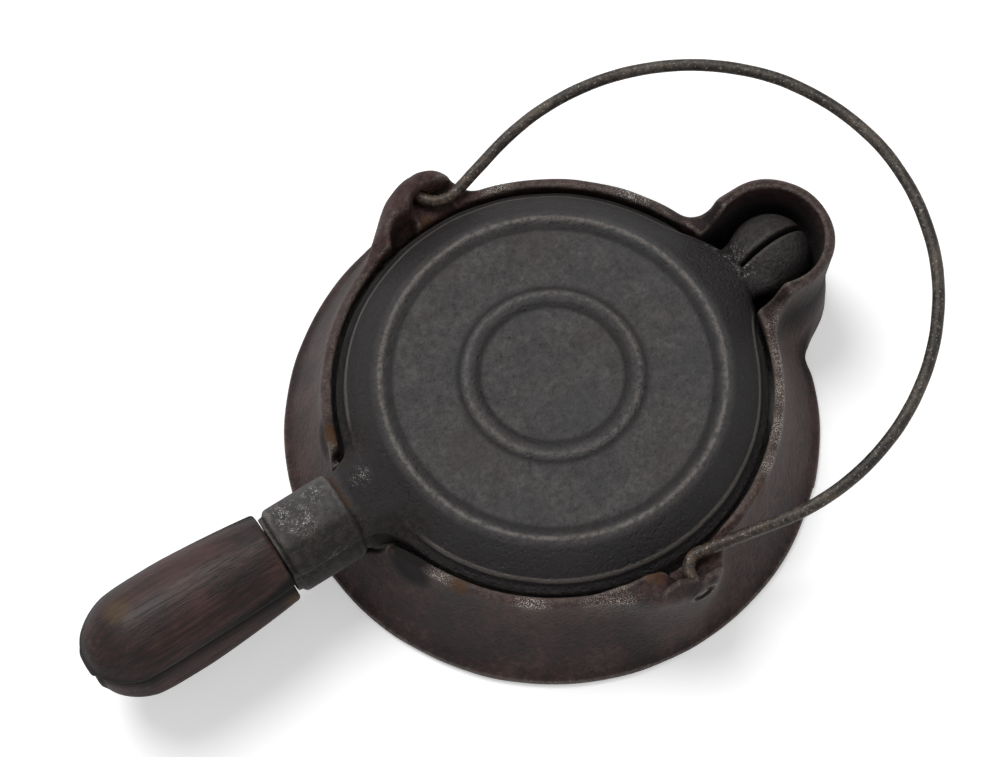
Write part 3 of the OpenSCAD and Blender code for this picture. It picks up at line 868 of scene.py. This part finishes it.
# %% Pan iron
def make_pan_iron():
    f = Finish("seasoned_pan_iron", IOR=1.46)
    cloud = f.noise(34, 4, 0.65)
    blotch = f.noise(170, 5, 0.7)
    mottle = f.noise(620, 4, 0.8)
    grain = f.noise(2100, 3, 0.75)
    speck = f.noise(4200, 1, 0.5)
    soot = f.stored("soot").span(0, 0.6)
    bare = f.stored("bare").span(0, 1) * speck.span(0.56, 0.64) * mottle.span(0.49, 0.56)
    worn = f.marks("edge", 0.1, 1.8, mottle).span(0.15, 0.7)
    grime = f.marks("hollow", 0.5, 1, cloud).span(0.1, 0.8)
    rusty = f.marks("rust", 0.1, 1.7, mottle).span(0.35, 0.9)
    skin = f.ramp(0.25 * cloud + 0.3 * blotch + 0.45 * mottle, (0.41, (0.026, 0.0235, 0.0235)),
                  (0.5, (0.053, 0.048, 0.0475)), (0.59, (0.094, 0.0865, 0.0845)))
    soot_and_shade_tone = f.blend(mottle.span(0.45, 0.57), (0.004, 0.003, 0.0028), (0.027, 0.0185, 0.015))
    # Painted highlight on the bead's and ring's crests, joined with the rubbed edges.
    crest_highlight = turned_band(f, BEAD_CREST_HIGHLIGHT).high(turned_band(f, RING_CREST_HIGHLIGHT) * 0.6)
    rubbed_and_highlight = (worn * (1 - 0.8 * soot)).high(crest_highlight * mottle.span(0.34, 0.56))
    skin = f.layers(
        skin,
        (grain.span(0.48, 0.66) * 0.45, (0.1, 0.092, 0.091)),
        (cloud.span(0.5, 0.62) * 0.45, (0.03, 0.0225, 0.0205)),
        (cloud.span(0.46, 0.34) * 0.45, (0.056, 0.056, 0.0605)),
        # Painted shade in the bead's and ring's grooves.
        (turned_band(f, BEAD_GROOVE_SHADE) * 0.75, (0.01, 0.0083, 0.0083)),
        (turned_band(f, RING_INNER_GROOVE_SHADE) * 0.75, (0.012, 0.01, 0.01)),
        (turned_band(f, RING_OUTER_GROOVE_SHADE) * 0.7, (0.012, 0.01, 0.01)),
        # Painted shade on the dome beside the flange.
        (band(from_middle(f), *DOME_SHADE_BAND) * 0.93, (0.0055, 0.0034, 0.0038)),
        # Soot, and painted shade along the sides of the socket and neck.
        (soot * 0.85, soot_and_shade_tone),
        (rubbed_and_highlight * 0.6, (0.22, 0.198, 0.182)),
        (speck.span(0.7, 0.76) * 0.5, (0.16, 0.145, 0.13)),
        (grime * 0.8, (0.008, 0.0065, 0.006)),
        (rusty * 0.6, (0.07, 0.031, 0.015)),
        # Bare specks near white, painted as glints.
        (bare * 0.9, (0.95, 0.92, 0.87)))
    height = 0.7 * grain + 1.1 * mottle + 0.6 * f.pits(700.0) + 0.8 * blotch
    shine = 0.33 + 0.2 * cloud + 0.24 * mottle - 0.1 * worn + 0.25 * rusty + 0.25 * soot
    metal = (0.4 * worn).high(0.5 * bare)
    return f.finish(Base_Color=skin, Roughness=shine, Metallic=metal, Normal=f.bump(height, 0.6, 0.001))


pan_iron = make_pan_iron()

# %% [markdown]
# ## Brown iron of the base
# The base stands in the fire's heat, so its skin is burnt brown, dull and blotched, with
# rust in the corners. Its rim and edges are rubbed to bare metal that glints. The mottling
# runs down the flared wall, as drips do, so one noise is squeezed along Z.

# %% Base iron
def make_base_iron():
    f = Finish("burnt_base_iron", IOR=1.42)
    cloud = f.noise(24, 4, 0.65)
    drips = f.noise(120, 4, 0.7, f.stretched(1, 1, 0.4))
    mottle = f.noise(460, 4, 0.8)
    grain = f.noise(1900, 3, 0.75)
    speck = f.noise(3700, 1, 0.5).span(0.54, 0.64)
    soot = f.stored("soot").span(0, 0.35)
    worn = f.marks("edge", 0.1, 1.8, mottle).span(0.2, 0.8)
    bare = f.stored("bare").span(0, 0.8) * (0.35 + f.stored("edge").span(0.0, 0.3))
    glint = speck * (0.4 * worn).high(bare)
    grime = f.marks("hollow", 0.5, 1, cloud).span(0.1, 0.8)
    rusty = f.marks("rust", 0.1, 1.7, mottle).span(0.35, 0.9)
    skin = f.ramp(0.3 * cloud + 0.3 * drips + 0.4 * mottle, (0.43, (0.0115, 0.0047, 0.0048)),
                  (0.5, (0.031, 0.0128, 0.0126)), (0.57, (0.068, 0.037, 0.034)))
    burnt = f.blend(mottle.span(0.4, 0.6), (0.02, 0.007, 0.0065), (0.05, 0.0185, 0.015))
    skin = f.layers(
        skin,
        (cloud.span(0.44, 0.6) * 0.5, burnt),
        (worn * 0.6, (0.13, 0.102, 0.085)),
        (glint * 0.85, (0.6, 0.56, 0.5)),
        # Grime in the hollows, and the dark patches, those by the notch being painted shade.
        ((grime * 0.8).high(soot * 0.95), (0.005, 0.0036, 0.0033)),
        (rusty * 0.75, (0.085, 0.036, 0.012)))
    height = 0.7 * grain + 1.1 * mottle + 0.7 * f.pits(620.0) + 0.9 * drips
    shine = 0.38 + 0.16 * cloud + 0.24 * mottle - 0.15 * glint + 0.2 * rusty + 0.3 * soot
    metal = 0.85 * glint
    return f.finish(Base_Color=skin, Roughness=shine, Metallic=metal, Normal=f.bump(height, 0.6, 0.001))


base_iron = make_base_iron()

# %% [markdown]
# ## Wood, wire and screws
# The grips are dark stained hardwood: fine pores and streaks run the length of the handle, so
# the noise is stretched far along X. A worn coat of varnish gives the satin, and the groove
# between the halves is painted near black as the shadow under the upper half's lip. The bail
# is blackened wire with bright nicks, and brown where its hooks rub in the ears. The screws
# are old steel.

# %% Grip wood
GROOVE_SHADOW_BAND = (-5.2, -2.8, 8.2, 9.8)


def make_grip_wood():
    f = Finish("stained_grip_wood", IOR=1.4, Coat_Roughness=0.35)
    cloud = f.noise(50, 3, 0.6)
    streak = f.noise(880, 5, 0.72, f.stretched(0.04, 1, 1))
    pore = f.noise(2300, 3, 0.6, f.stretched(0.03, 1, 1))
    fleck = f.noise(300, 3, 0.6)
    worn = f.marks("edge", 0.2, 1.4, fleck).span(0.25, 0.9) * above_seam(f).span(0.0105, 0.013)
    scar = f.marks("rust", 0.2, 1.5, streak).span(0.3, 1.0)
    wood = f.ramp(0.5 * cloud + 0.5 * streak, (0.41, (0.0095, 0.0034, 0.0032)),
                  (0.5, (0.0245, 0.0088, 0.0082)), (0.59, (0.054, 0.023, 0.0205)))
    # Painted shadow: near black in the groove on both sides of the mating face.
    groove_shadow = band(f.along(2) - AXIS_Z * MM, *GROOVE_SHADOW_BAND)
    wood = f.layers(
        wood,
        (pore.span(0.52, 0.66) * 0.75, (0.005, 0.0035, 0.0032)),
        (scar * 0.55, (0.1, 0.058, 0.016)),
        (worn * 0.25, (0.09, 0.055, 0.036)),
        (groove_shadow * 0.94, (0.003, 0.0019, 0.0018)))
    height = 0.7 * streak - 1.1 * pore.span(0.5, 0.7) + 0.2 * fleck
    shine = 0.38 + 0.2 * cloud + 0.12 * pore + 0.3 * groove_shadow
    coat = 0.08 * (1 - worn.high(groove_shadow))
    return f.finish(Base_Color=wood, Roughness=shine, Coat_Weight=coat, Normal=f.bump(height, 0.4, 0.0002))


# %% Bail wire and screw steel
def make_bail_wire():
    f = Finish("blackened_bail_wire", IOR=1.5)
    cloud = f.noise(90, 4, 0.6)
    scale = f.noise(620, 4, 0.8)
    nick = f.noise(1500, 2, 0.6).span(0.6, 0.7)
    by_ear = f.along(0).span(0.03, 0.004)
    skin = f.ramp(0.4 * cloud + 0.6 * scale, (0.42, (0.009, 0.0066, 0.005)),
                  (0.5, (0.025, 0.019, 0.0145)), (0.58, (0.074, 0.057, 0.042)))
    rusty = f.blend(scale.span(0.42, 0.6), (0.014, 0.006, 0.0045), (0.09, 0.048, 0.022))
    skin = f.layers(skin, (by_ear * 0.6, rusty), (nick * 0.7, (0.34, 0.3, 0.25)))
    shine = 0.4 + 0.3 * scale
    return f.finish(Base_Color=skin, Roughness=shine, Metallic=0.5 * nick, Normal=f.bump(scale, 0.6, 0.0003))


def make_screw_steel():
    f = Finish("aged_screw_steel", Metallic=1.0)
    cloud = f.noise(700, 4, 0.6)
    fine = f.noise(3500, 3, 0.6, f.stretched(0.2, 1, 1))
    skin = f.ramp(0.7 * cloud + 0.3 * fine, (0.35, (0.07, 0.045, 0.03)),
                  (0.5, (0.2, 0.17, 0.15)), (0.7, (0.42, 0.39, 0.36)))
    return f.finish(Base_Color=skin, Roughness=0.35 + 0.35 * cloud, Normal=f.bump(fine, 0.3, 0.00008))


grip_wood = make_grip_wood()
bail_wire = make_bail_wire()
screw_steel = make_screw_steel()

# %% [markdown]
# ## The castings take their places
# Each mesh becomes a piece that rides on the body of the solid that it stands for, and hides
# that solid.

# %% Add castings, tangs and grips
PAIRS = [("pan_casting", pan_meshes, "pan_iron", "pan", pan_iron),
         ("tang", tang_meshes, "pan_iron", "pan", pan_iron),
         ("wooden_grip", grip_meshes, "grip_wood", "grip", grip_wood)]
add_piece("base_ring", base_mesh, "base", ["base"], base_iron)
for kind, meshes, slot, node, material in PAIRS:
    for half in SIGNS:
        add_piece(f"{half}_{kind}", meshes[half], f"{half}_pan", [f"{half}_{node}"], material)

# %% [markdown]
# ## Waffle studs, by Geometry Nodes
# The studs press the squares into the waffle. They are one tapered block, repeated in rows
# over the round tray. A node tree suits that: it makes a grid of points, drops those too near
# the tray's edge, and sets a four-sided cone on each of the rest. Its inputs are the pitch,
# the widths and the height. A modifier's inputs are set by their sockets' identifiers.

# %% Small helpers for node trees
def new_tree(name, sizes):
    tree = bpy.data.node_groups.new(name, "GeometryNodeTree")
    tree.interface.new_socket("Geometry", in_out="INPUT", socket_type="NodeSocketGeometry")
    for size in sizes:
        tree.interface.new_socket(size, in_out="INPUT", socket_type="NodeSocketFloat")
    tree.interface.new_socket("Material", in_out="INPUT", socket_type="NodeSocketMaterial")
    tree.interface.new_socket("Geometry", in_out="OUTPUT", socket_type="NodeSocketGeometry")
    return tree, tree.nodes.new("NodeGroupInput"), tree.nodes.new("NodeGroupOutput")


def add_node(tree, kind, values, **settings):
    made = tree.nodes.new(kind)
    for key, value in settings.items():
        setattr(made, key, value)
    for socket, value in values.items():
        if isinstance(value, bpy.types.NodeSocket):
            tree.links.new(value, made.inputs[socket])
        else:
            made.inputs[socket].default_value = value
    return made


def close_tree(tree, into, out, shape):
    """Make copies real, give the shape its material and hand it out."""
    real = add_node(tree, "GeometryNodeRealizeInstances", {"Geometry": shape})
    done = add_node(tree, "GeometryNodeSetMaterial", {"Geometry": real.outputs[0],
        "Material": into.outputs["Material"]})
    tree.links.new(done.outputs[0], out.inputs[0])
    return tree


def run_tree(name, tree, mesh, sizes, material):
    thing = link_object(name, mesh)
    modifier = thing.modifiers.new(name, "NODES")
    modifier.node_group = tree
    ids = {item.name: item.identifier for item in tree.interface.items_tree if item.in_out == "INPUT"}
    for size, value in sizes.items():
        modifier[ids[size]] = value
    modifier[ids["Material"]] = material
    return bake_down(thing)


# %% The tree that sets the studs
STUD_SIZES = {"Pitch": 8.6 * MM, "Mould radius": MOULD_R * MM, "Foot width": 5.6 * MM,
              "Top width": 4.8 * MM, "Height": (MOULD_FLOOR - STUD_TOP + 0.6) * MM}
STUD_ROWS = 13
CORNER_SHARE = math.sqrt(0.5)


def stud_tree():
    tree, into, out = new_tree("waffle_studs", list(STUD_SIZES))
    given = into.outputs

    def math_node(operation, a, b):
        return add_node(tree, "ShaderNodeMath", {0: a, 1: b}, operation=operation).outputs[0]

    size = math_node("MULTIPLY", given["Pitch"], float(STUD_ROWS - 1))
    grid = add_node(tree, "GeometryNodeMeshGrid", {"Size X": size, "Size Y": size,
        "Vertices X": STUD_ROWS, "Vertices Y": STUD_ROWS})
    place = add_node(tree, "GeometryNodeInputPosition", {})
    far = add_node(tree, "ShaderNodeVectorMath", {0: place.outputs[0]}, operation="LENGTH")
    limit = math_node("SUBTRACT", given["Mould radius"], given["Foot width"])
    outer = add_node(tree, "FunctionNodeCompare", {0: far.outputs["Value"], 1: limit},
                     operation="GREATER_THAN")
    points = add_node(tree, "GeometryNodeDeleteGeometry", {"Geometry": grid.outputs[0],
        "Selection": outer.outputs[0]})
    foot = math_node("MULTIPLY", given["Foot width"], CORNER_SHARE)
    top = math_node("MULTIPLY", given["Top width"], CORNER_SHARE)
    block = add_node(tree, "GeometryNodeMeshCone", {"Vertices": 4, "Side Segments": 1,
        "Fill Segments": 1, "Radius Top": top,
        "Radius Bottom": foot, "Depth": given["Height"]})
    square = add_node(tree, "GeometryNodeTransform", {"Geometry": block.outputs[0],
        "Rotation": (0, 0, math.radians(45))})
    studs = add_node(tree, "GeometryNodeInstanceOnPoints", {"Points": points.outputs[0],
        "Instance": square.outputs[0]})
    return close_tree(tree, into, out, studs.outputs[0])


# %% Round the studs' edges and set them in both pans
STUD_EDGE, STUD_WEAR, WEAR_Z = 0.55, 0.55, 0.9
STUD_MID_Z = (MOULD_FLOOR + 0.6 + STUD_TOP) / 2


def stud_mesh(tree, half):
    raw = run_tree("studs", tree, bpy.data.meshes.new("seed"), STUD_SIZES, pan_iron)
    block = link_object("studs", raw)
    soft = block.modifiers.new("soft", "BEVEL")
    soft.width = STUD_EDGE * MM
    soft.segments = 2
    mesh = bake_down(block)
    local = read_points(mesh) * np.array(SIGNS["lower"]) + np.array([0, 0, STUD_MID_Z])
    z = local[:, 2]
    add_attribute(mesh, "edge", np.clip(1 - (z - STUD_TOP) / WEAR_Z, 0, 1) * STUD_WEAR)
    add_attribute(mesh, "hollow", np.clip((z - 5) / 2, 0, 1))
    write_points(mesh, to_place(local, half))
    return mesh


studs = stud_tree()
for half in SIGNS:
    pan = half + "_pan"
    add_piece(half + "_waffle_studs", stud_mesh(studs, half), pan, [pan])

# %% [markdown]
# ## The bail, by Geometry Nodes
# The bail is one wire: hooked ends through the ears, two straight arms and a big arc. Only
# its middle line is worked out here, with the arms as tangents to the arc. The node tree
# turns that line into a curve and sweeps a round section along it.

# %% The middle line of the bail
BEND_IN, PIN_END = 61.4, 70.7
LEFT_BEND, RIGHT_BEND = 7.4, 4.2
ARC_U, ARC_R, ARC_SHIFT = 42.3, 68.2, 0.45
SAG, SAG_LENGTH = 0.25, 11
WIRE_R = 1.68


def bail_half(bend_r):
    """Points (u, v) from the pin's end round its bend and along the arm to the arc's middle."""
    hook, arc = np.array([bend_r, BEND_IN + bend_r]), np.array([ARC_U, 0.0])
    span = np.linalg.norm(arc - hook)
    lean = math.atan2(arc[1] - hook[1], arc[0] - hook[0]) + math.asin((ARC_R + bend_r) / span)
    path = [(0, v) for v in np.linspace(PIN_END, BEND_IN + bend_r, 6)]
    for a in np.linspace(math.pi, math.pi * 1.5 + lean, 14)[1:]:
        path.append(tuple(hook + bend_r * np.array([math.cos(a), math.sin(a)])))
    start = np.array(path[-1])
    end = arc + ARC_R * np.array([math.cos(math.pi / 2 + lean), math.sin(math.pi / 2 + lean)])
    path += [tuple(start + (end - start) * t) for t in np.linspace(0, 1, 30)[1:]]
    for a in np.linspace(math.pi / 2 + lean, 0, 80)[1:]:
        path.append(tuple(arc + ARC_R * np.array([math.cos(a), math.sin(a)])))
    return np.array(path)


def bail_line():
    flat = np.concatenate([bail_half(LEFT_BEND), (bail_half(RIGHT_BEND) * np.array([1, -1]))[::-1][1:]])
    u, v = flat[:, 0], flat[:, 1]
    v = v + EAR_SHIFT + (ARC_SHIFT - EAR_SHIFT) * ease((u - 5) / 30)
    sag = SAG * np.sin(v / SAG_LENGTH) * np.clip((u - 6) / 20, 0, 1)
    return np.stack([u * math.cos(BAIL_TILT), v, EAR_Z + u * math.sin(BAIL_TILT) - np.abs(sag)], 1)


# %% Sweep the wire
def wire_tree():
    tree, into, out = new_tree("bail_wire", ["Wire radius"])
    line = add_node(tree, "GeometryNodeMeshToCurve", {"Mesh": into.outputs["Geometry"]})
    section = add_node(tree, "GeometryNodeCurvePrimitiveCircle", {"Resolution": 20,
        "Radius": into.outputs["Wire radius"]})
    wire = add_node(tree, "GeometryNodeCurveToMesh", {"Curve": line.outputs[0],
        "Profile Curve": section.outputs[0], "Fill Caps": True})
    return close_tree(tree, into, out, wire.outputs[0])


HAMMERED, HAMMER_LENGTH = 0.05, 5.0
line = bail_line()
seed = bpy.data.meshes.new("bail_line")
seed.from_pydata((line * MM).tolist(), [(i, i + 1) for i in range(len(line) - 1)], [])
bail_mesh = run_tree("bail", wire_tree(), seed, {"Wire radius": WIRE_R * MM}, bail_wire)
points = read_points(bail_mesh)
rough = np.stack([uneven(points + shift, HAMMERED, HAMMER_LENGTH) for shift in (0, 7, 13)], 1)
write_points(bail_mesh, points + np.array([0.6, 0.6, 1.0]) * rough)
add_piece("wire_bail", bail_mesh, "bail", ["bail"])

# %% [markdown]
# ## Screws
# The screws' solids already have the right shape, so they stay and only take their steel.

# %% Give the screws their steel
for name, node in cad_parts.items():
    if name.endswith("_screw"):
        node.data.materials.clear()
        node.data.materials.append(screw_steel)
        print(name, "is steel")

# %% [markdown]
# ## Floor, light and camera
# The iron stands on a white sheet under a big soft lamp, high and a little behind it, as in a
# catalogue picture. The flat tops mirror that lamp softly, which tells them from the slopes.
# The camera stands where the photograph was taken from, high on the handle's side.

# %% The floor
FLOOR_GLOW = 0.36
FLOOR_HALF, FLOOR_Z = 3.0, -0.0001


def make_floor():
    """A white sheet that looks white to the camera and in reflections, and keeps its shadows."""
    f = Finish("white_sheet", Roughness=0.9)
    f.shader.inputs["Specular IOR Level"].default_value = 0.0
    f.shader.inputs["Emission Strength"].default_value = 1.0
    seen = f.node("ShaderNodeLightPath", {}, {}, "Is Camera Ray")
    for ray in ("Is Glossy Ray", "Is Transmission Ray"):
        seen = seen + f.node("ShaderNodeLightPath", {}, {}, ray)
    seen = seen * f.length(f.place).span((FOOT_R - 1) * MM, FOOT_R * MM)
    glow = f.blend(seen, (0.0, 0.0, 0.0), (FLOOR_GLOW, FLOOR_GLOW, FLOOR_GLOW))
    white = f.blend(f.noise(3), (0.86, 0.86, 0.86), (0.9, 0.9, 0.9))
    return f.finish(Base_Color=white, Emission_Color=glow)


corners = [(x * FLOOR_HALF, y * FLOOR_HALF, FLOOR_Z) for x, y in ((-1, -1), (1, -1), (1, 1), (-1, 1))]
floor_mesh = bpy.data.meshes.new("floor")
floor_mesh.from_pydata(corners, [], [(0, 1, 2, 3)])
floor_mesh.materials.append(make_floor())
floor = link_object("floor", floor_mesh)


# %% Lamps and the world
LAMP_AIM = Vector((0, 0, 0.02))
WORLD_LEVEL = 0.33


def add_lamp(name, place, size, power):
    data = bpy.data.lights.new(name, "AREA")
    data.shape = "DISK"
    data.size = size
    data.energy = power
    lamp = link_object(name, data)
    lamp.location = place
    lamp.rotation_euler = (Vector(place) - LAMP_AIM).to_track_quat("Z", "Y").to_euler()


add_lamp("soft_lamp", (-0.12, 0.62, 1.15), 0.7, 11.5)
add_lamp("side_fill", (-0.9, -0.7, 0.8), 0.6, 1.2)
add_lamp("window_fill", (0.8, -0.6, 0.6), 0.6, 1.3)
world = bpy.data.worlds.new("room")
bpy.context.scene.world = world
world.use_nodes = True
background = world.node_tree.nodes["Background"]
background.inputs["Color"].default_value = (1, 1, 1, 1)
background.inputs["Strength"].default_value = WORLD_LEVEL
bpy.context.scene.view_settings.view_transform = "Standard"

# %% The camera, where the photograph was taken from
CAM_AZ, CAM_EL, CAM_ROLL = (math.radians(d) for d in (-31.4139, 67.64825, -1.80271))
CAM_TARGET = Vector((-9.12082, 12.02898, 20)) * MM
CAM_FAR = 495.67488 * MM
FOCAL = 64.8
back = Vector((math.sin(CAM_AZ) * math.cos(CAM_EL), -math.cos(CAM_AZ) * math.cos(CAM_EL), math.sin(CAM_EL)))
level = Vector((math.cos(CAM_AZ), math.sin(CAM_AZ), 0))
above = back.cross(level)
right = level * math.cos(CAM_ROLL) + above * math.sin(CAM_ROLL)
up = above * math.cos(CAM_ROLL) - level * math.sin(CAM_ROLL)
lens = bpy.data.cameras.new("camera")
lens.sensor_width = 36
lens.lens = FOCAL
lens.clip_start = 0.01
lens.clip_end = 20
camera = link_object("camera", lens)
turn = Matrix((right, up, back)).transposed().to_4x4()
camera.matrix_world = Matrix.Translation(CAM_TARGET + back * CAM_FAR) @ turn
bpy.context.scene.camera = camera
print("camera at", [round(c, 3) for c in camera.matrix_world.translation])

# %% Update the scene and finish
bpy.context.view_layer.update()
